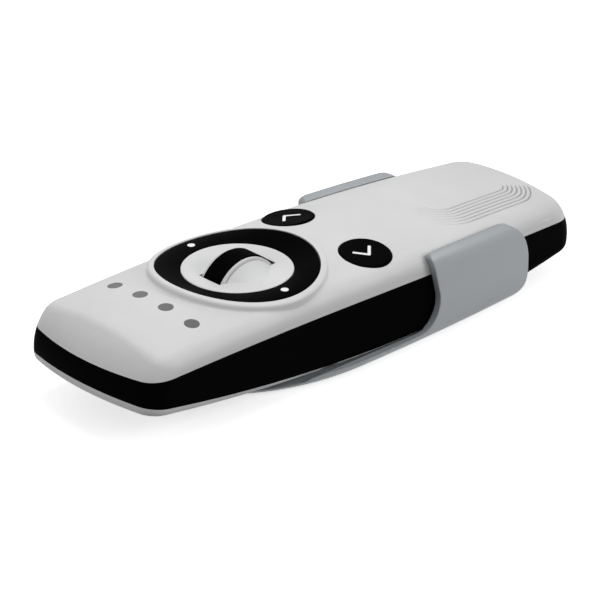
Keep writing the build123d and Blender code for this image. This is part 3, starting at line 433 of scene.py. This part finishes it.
def corner_shares(at, a, b, c):
    """How much each corner of a triangle counts at a place on it, or None if it has no area."""
    whole = (b - a).cross(c - a)
    size = whole.length_squared
    if size == 0:
        return None
    edges = ((b, c), (c, a), (a, b))
    return [max(0.0, (q - p).cross(at - p).dot(whole) / size) for p, q in edges]


def split_faces(mesh, surface):
    """The faces that lie on the surface, each with its triangle and normal there, and the summed
    normals at the corners of the other faces."""
    kept = {}
    cut = {}
    for face in mesh.polygons:
        _, normal, triangle, gap = surface.find_nearest(face.center)
        if gap < KEPT_GAP:
            kept[face.index] = (triangle, normal)
            continue
        for vertex in face.vertices:
            cut[vertex] = cut.get(vertex, Vector()) + face.normal * face.area
    return kept, cut


def shade_cut(mesh, model):
    """Faces that mesh keeps of the model get the model's own shading. New faces get a smooth one,
    and groove_depth says how far each of their corners lies below the model."""
    model.calc_loop_triangles()
    corners = [tuple(triangle.vertices) for triangle in model.loop_triangles]
    loops = [tuple(triangle.loops) for triangle in model.loop_triangles]
    points = [vertex.co.copy() for vertex in model.vertices]
    shading = [normal.vector.copy() for normal in model.corner_normals]
    surface = BVHTree.FromPolygons(points, corners)
    kept, cut = split_faces(mesh, surface)

    def shade_at(at, face):
        own, facing = kept[face.index]
        _, normal, triangle, _ = surface.find_nearest(at.lerp(face.center, CORNER_INSET))
        if normal.dot(facing) < SAME_FACING:
            triangle = own
        shares = corner_shares(at, *(points[corner] for corner in corners[triangle]))
        if shares is None:
            return facing
        one, two, three = (shading[loop] * share for loop, share in zip(loops[triangle], shares))
        return (one + two + three).normalized()

    normals = [None] * len(mesh.loops)
    for face in mesh.polygons:
        for loop in face.loop_indices:
            vertex = mesh.loops[loop].vertex_index
            if face.index in kept:
                normals[loop] = shade_at(mesh.vertices[vertex].co, face)
            else:
                normals[loop] = cut[vertex].normalized()
    depths = [0.0] * len(mesh.vertices)
    for vertex in cut:
        gap = surface.find_nearest(mesh.vertices[vertex].co)[3]
        depths[vertex] = min(1.0, gap / (GROOVE_DEPTH * MM))
    mesh.attributes.new("groove_depth", "FLOAT", "POINT").data.foreach_set("value", depths)
    mesh.normals_split_custom_set(normals)


def cut_grooves(node, name):
    """A copy of the node with the grooves cut in it, in the node's place."""
    model = nodes[node].data
    built = bmesh.new()
    built.from_mesh(model)
    bmesh.ops.remove_doubles(built, verts=built.verts, dist=WELD_GAP)
    mesh = bpy.data.meshes.new(name)
    surface = BVHTree.FromBMesh(built)
    built.to_mesh(mesh)
    built.free()
    bars = groove_cutter(surface)
    bar_mesh = bpy.data.meshes.new("groove_bars")
    bars.to_mesh(bar_mesh)
    bars.free()
    cutter = bpy.data.objects.new("groove_bars", bar_mesh)
    piece = bpy.data.objects.new(name, mesh)
    scene.collection.objects.link(cutter)
    scene.collection.objects.link(piece)
    boolean = piece.modifiers.new("grooves", "BOOLEAN")
    boolean.operation = "DIFFERENCE"
    boolean.solver = "EXACT"
    boolean.object = cutter
    view = bpy.context.evaluated_depsgraph_get()
    piece.data = bpy.data.meshes.new_from_object(piece.evaluated_get(view), depsgraph=view)
    piece.modifiers.clear()
    bpy.data.objects.remove(cutter)
    piece.data.materials.clear()
    piece.data.materials.append(finish_of[node])
    for face in piece.data.polygons:
        face.use_smooth = True
        face.material_index = 0
    shade_cut(piece.data, model)
    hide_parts(node)
    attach(piece, "handset")


cut_grooves("top_shell", "top_shell_grooved")

# Floor and world, in metres
FLOOR_HALF = 4.0
FLOOR_DROP = 0.0002  # below the holder's back
FLOOR_BOUNCE = 0.2  # its shade for light that falls on the part
FLOOR_SHADE = 0.9  # its shade for the camera
FLOOR_LIFT = 0.62
FLOOR_ROUGH = 0.9
FLOOR_GLEAM = 0.05
WORLD_LEVEL = 0.43  # light on the part, while the camera sees plain white

floor_mesh = bpy.data.meshes.new("floor")
floor_turns = ((-1, -1), (1, -1), (1, 1), (-1, 1))
floor_corners = [(x * FLOOR_HALF, y * FLOOR_HALF, 0) for x, y in floor_turns]
floor_mesh.from_pydata(floor_corners, [], [(0, 1, 2, 3)])
floor = bpy.data.objects.new("floor", floor_mesh)
scene.collection.objects.link(floor)
floor.location.z = -FLOOR_DROP

floor_material = bpy.data.materials.new("floor_white")
floor_material.use_nodes = True
tree = floor_material.node_tree
floor_shader = tree.nodes["Principled BSDF"]
floor_shader.inputs["Roughness"].default_value = FLOOR_ROUGH
floor_shader.inputs["Specular IOR Level"].default_value = FLOOR_GLEAM
floor_colour = tree.nodes.new("ShaderNodeMix")
floor_colour.data_type = "RGBA"
floor_colour.inputs["A"].default_value = grey(FLOOR_BOUNCE)
floor_colour.inputs["B"].default_value = grey(FLOOR_SHADE)
mask = seen(tree)
tree.links.new(mask, floor_colour.inputs["Factor"])
tree.links.new(floor_colour.outputs["Result"], floor_shader.inputs["Base Color"])
floor_shader.inputs["Emission Color"].default_value = grey(1.0)
tree.links.new(sums(tree)("MULTIPLY", mask, FLOOR_LIFT), floor_shader.inputs["Emission Strength"])
floor_mesh.materials.append(floor_material)

world = bpy.data.worlds.new("studio")
scene.world = world
world.use_nodes = True
tree = world.node_tree
background = tree.nodes["Background"]
background.inputs["Color"].default_value = grey(1.0)
calc = sums(tree)
level = calc("ADD", WORLD_LEVEL, calc("MULTIPLY", seen(tree), 1.0 - WORLD_LEVEL))
tree.links.new(level, background.inputs["Strength"])

# Lights: name, place, target, width and height in metres, and power in watts
HANDSET_MIDDLE = (0.0, 0.0, 0.015)
SOFTBOXES = (
    ("overhead", (-0.015, -0.02, 0.2), (0.0, -0.02, 0.015), 0.14, 0.12, 0.14),
    ("side", (0.62, 0.4, 0.36), HANDSET_MIDDLE, 0.4, 0.3, 2.4),
    ("front", (-0.1, -0.68, 0.28), HANDSET_MIDDLE, 0.4, 0.3, 0.75),
    ("back", (-0.55, 0.4, 0.36), HANDSET_MIDDLE, 0.4, 0.3, 0.5),
)
for name, place, target, width, height, power in SOFTBOXES:
    light = bpy.data.lights.new(name, "AREA")
    light.shape = "RECTANGLE"
    light.size, light.size_y = width, height
    light.energy = power
    softbox = bpy.data.objects.new(name, light)
    softbox.location = place
    way = Vector(target) - Vector(place)
    softbox.rotation_euler = way.to_track_quat("-Z", "Y").to_euler()
    scene.collection.objects.link(softbox)

# Camera: the photograph's own view, placed from the middle of the disc, in millimetres
CAMERA_RIGHT = (0.6808, 0.7325, 0.0)
CAMERA_BACK = (0.6570, -0.6107, 0.4420)
CAMERA_ASIDE = 15.49
CAMERA_BELOW = 8.00
CAMERA_AWAY = 939.3
FOCAL_PIXELS = 3800.0
PICTURE_PIXELS = 600.0
SENSOR = 36.0
CLIP_NEAR = 0.05  # metres
CLIP_FAR = 20.0

camera_data = bpy.data.cameras.new("camera")
camera_data.sensor_width = SENSOR
camera_data.lens = FOCAL_PIXELS * SENSOR / PICTURE_PIXELS
camera_data.clip_start = CLIP_NEAR
camera_data.clip_end = CLIP_FAR
camera = bpy.data.objects.new("camera", camera_data)
right = Vector(CAMERA_RIGHT).normalized()
back = Vector(CAMERA_BACK).normalized()
up = back.cross(right).normalized()
right = up.cross(back).normalized()
disc_middle = Vector((0.0, RING_Y, DISC_Z))
place = disc_middle + CAMERA_ASIDE * right - CAMERA_BELOW * up + CAMERA_AWAY * back
turn = Matrix((right, up, back)).transposed()
camera.matrix_world = Matrix.Translation(place * MM) @ turn.to_4x4()
scene.collection.objects.link(camera)
scene.camera = camera
